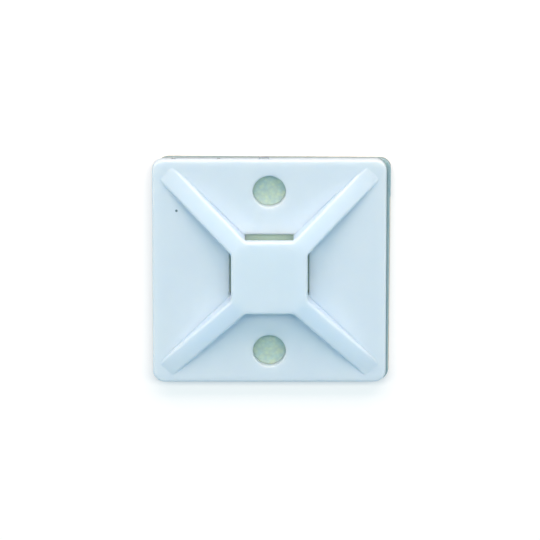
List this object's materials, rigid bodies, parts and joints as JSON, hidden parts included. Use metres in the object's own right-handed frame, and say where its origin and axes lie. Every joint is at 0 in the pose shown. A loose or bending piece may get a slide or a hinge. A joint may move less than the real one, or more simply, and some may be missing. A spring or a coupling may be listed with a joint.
{
  "type": "cable tie mount",
  "caption": "Square stick-on base that a cable tie threads through from any side, under a raised platform on diagonal ribs, with screw holes as well.",
  "frame": {"origin": "centre of the underside, on the surface that the mount is stuck to", "axes": "+Z away from that surface, +Y through the two screw holes towards the edge with the gate mark, +X across them"},
  "size_m": [0.0285, 0.0282, 0.0046],
  "materials": {
    "moulded_nylon": "as moulded, softly glossy",
    "foam_tape": "closed-cell foam with an adhesive film",
    "liner_paper": "silicone-coated paper, smooth"
  },
  "bodies": {
    "root": {"mount_body": "moulded_nylon", "foam_pad": "foam_tape", "release_liner": "liner_paper"}
  },
  "joints": []
}
